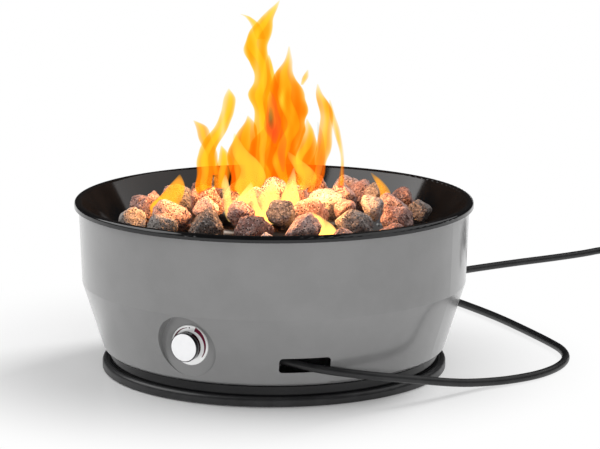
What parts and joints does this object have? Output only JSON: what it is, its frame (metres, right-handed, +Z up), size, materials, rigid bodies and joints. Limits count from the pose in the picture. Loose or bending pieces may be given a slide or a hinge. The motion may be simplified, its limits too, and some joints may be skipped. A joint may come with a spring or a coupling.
{
  "type": "propane fire pit",
  "caption": "Round outdoor gas fire pit: a tapered steel shell on a low base, a bowl of lava rock over a ring burner, a push-and-turn knob, and a hose with a regulator.",
  "frame": {"origin": "on the floor, under the middle of the bowl", "axes": "+Z up, with the control knob facing -Y and the hose leaving towards +X and +Y"},
  "size_m": [0.6286, 1.2352, 0.2574],
  "materials": {
    "shell_paint": "satin",
    "bowl_enamel": "gloss",
    "skirt_enamel": "gloss",
    "ring_plastic": "satin",
    "foot_rubber": "matte",
    "hose_rubber": "satin",
    "seal_rubber": "matte",
    "zinc_steel": "satin",
    "burner_steel": "heat stained",
    "spring_steel": "satin",
    "fitting_brass": "satin",
    "cast_aluminium": "satin",
    "bezel_print": "gloss",
    "knob_chrome": "polished",
    "regulator_paint": "satin",
    "nut_plastic": "matte",
    "tie_fabric": "matte",
    "red_rock": "rough",
    "grey_rock": "rough"
  },
  "bodies": {
    "pit": {"outer_shell": "shell_paint", "fire_bowl": "bowl_enamel", "pedestal_skirt": "skirt_enamel", "base_ring": "ring_plastic", "rubber_feet": "foot_rubber", "shell_rivets": "zinc_steel", "ring_screws": "zinc_steel", "heat_shield": "zinc_steel", "shield_spacers": "zinc_steel", "shield_screws": "zinc_steel", "shield_nuts": "zinc_steel", "burner_ring": "burner_steel", "burner_crossbar": "burner_steel", "burner_inlet": "burner_steel", "burner_locknut": "zinc_steel", "air_mixer": "cast_aluminium", "gas_jet": "fitting_brass", "gas_tube": "cast_aluminium", "tube_nuts": "fitting_brass", "valve_body": "cast_aluminium", "valve_bonnet": "cast_aluminium", "valve_screws": "zinc_steel", "stem_spring": "spring_steel", "knob_bezel": "bezel_print", "hose_fitting": "fitting_brass", "hose_crimp": "zinc_steel", "gas_hose": "hose_rubber", "hose_coil": "hose_rubber", "hose_tail": "hose_rubber", "coil_tie": "tie_fabric", "regulator_crimp": "zinc_steel", "regulator_body": "regulator_paint", "regulator_diaphragm": "seal_rubber", "regulator_cover": "regulator_paint", "regulator_screws": "zinc_steel", "regulator_spring": "spring_steel", "tank_nipple": "fitting_brass", "nipple_seal": "seal_rubber", "red_lava_rocks": "red_rock", "grey_lava_rocks": "grey_rock"},
    "push_washer": {"stem_washer": "zinc_steel"},
    "knob": {"control_knob": "knob_chrome", "valve_stem": "fitting_brass", "knob_clip": "spring_steel"},
    "plug": {"valve_plug": "fitting_brass"},
    "hand_nut": {"tank_nut": "nut_plastic"}
  },
  "joints": [
    {"name": "knob_push", "type": "slide", "parent": "pit", "child": "push_washer", "axis": [0, 1, 0], "range_m": [0, 0.0035], "stiffness_N_per_m": 1500, "springref_m": -0.002, "deforming": ["stem_spring"]},
    {"name": "knob_turn", "type": "hinge", "parent": "push_washer", "child": "knob", "pos_m": [0, -0.231, 0.0764], "axis": [0, -1, 0], "range_deg": [-90, 90]},
    {"name": "plug_turn", "type": "hinge", "parent": "pit", "child": "plug", "pos_m": [0, -0.19, 0.0764], "axis": [0, -1, 0], "range_deg": [-90, 90]},
    {"name": "hand_nut_turn", "type": "hinge", "parent": "pit", "child": "hand_nut", "pos_m": [0.31973, 0.64977, 0.0313], "axis": [0.0243, -0.9997, 0], "continuous": true}
  ],
  "couplings": [
    {"joint": "plug_turn", "follows": "knob_turn", "ratio": 1}
  ]
}
